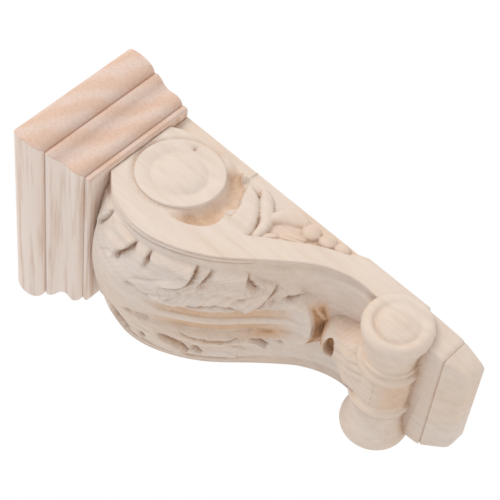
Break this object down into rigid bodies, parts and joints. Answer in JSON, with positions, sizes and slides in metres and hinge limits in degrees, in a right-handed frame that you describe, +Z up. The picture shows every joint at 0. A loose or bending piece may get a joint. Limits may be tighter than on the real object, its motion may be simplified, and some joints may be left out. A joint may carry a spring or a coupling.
{
  "type": "carved wooden corbel",
  "caption": "Wooden scroll corbel with side volutes, acanthus leaves on its front, a small roll at the foot and a moulded cap.",
  "frame": {"origin": "on the flat back that goes against the wall, at half height and half width", "axes": "+Y out of the flat back into the wall, +Z up to the cap, +X to the side seen in the picture"},
  "size_m": [0.106, 0.0678, 0.2],
  "materials": {
    "pale_wood": "bare, sanded and machine carved",
    "cap_wood": "bare, moulded, pinkish grain"
  },
  "bodies": {
    "root": {"carved_scroll": "pale_wood", "top_cap": "cap_wood"}
  },
  "joints": []
}
